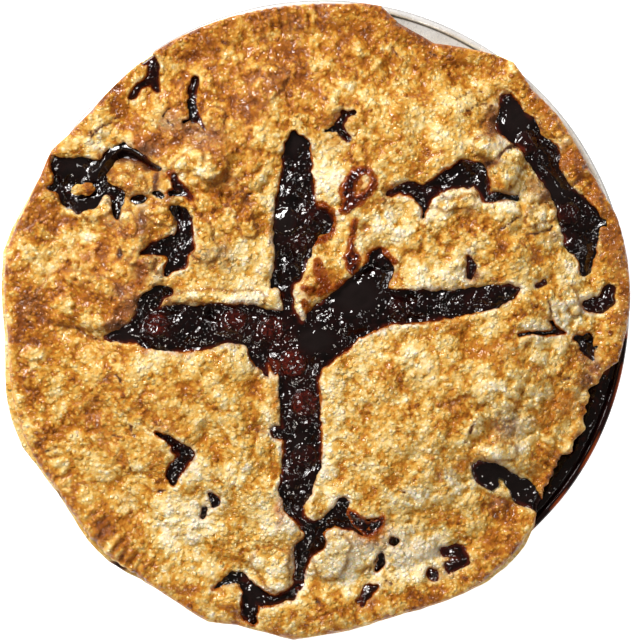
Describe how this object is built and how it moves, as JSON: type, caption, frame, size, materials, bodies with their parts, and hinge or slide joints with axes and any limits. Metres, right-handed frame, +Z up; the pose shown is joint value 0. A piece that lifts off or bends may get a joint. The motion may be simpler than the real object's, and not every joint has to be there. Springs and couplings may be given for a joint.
{
  "type": "blueberry ginger pie in a tin",
  "caption": "Round double-crust berry pie in its rolled-rim tin, domed craggy lid with a cross-shaped vent, ragged cracks and a crimped rim.",
  "frame": {"origin": "centre of the tin's flat underside", "axes": "+Z up along the tin's axis, +X to the right and +Y to the top of the top-down picture"},
  "size_m": [0.2454, 0.2497, 0.052],
  "materials": {
    "tin": "bright pressed foil-weight aluminium",
    "bottom_crust": "pale baked pastry, dull",
    "filling": "wet jammy fruit filling, glossy",
    "top_crust": "egg-washed golden pastry, rough with a slight sheen",
    "crust_crumb": "baked pastry, dull",
    "edge_syrup": "set fruit syrup, glossy",
    "rim_syrup": "set fruit syrup, glossy"
  },
  "bodies": {
    "root": {"tin": "tin", "bottom_crust": "bottom_crust", "filling": "filling", "top_crust": "top_crust", "crust_crumb": "crust_crumb", "edge_syrup": "edge_syrup", "syrup_pool_top_left": "rim_syrup", "syrup_pool_right": "rim_syrup", "syrup_pool_bottom": "rim_syrup", "syrup_pool_bottom_dot": "rim_syrup", "syrup_pool_bottom_slit": "rim_syrup"}
  },
  "joints": []
}
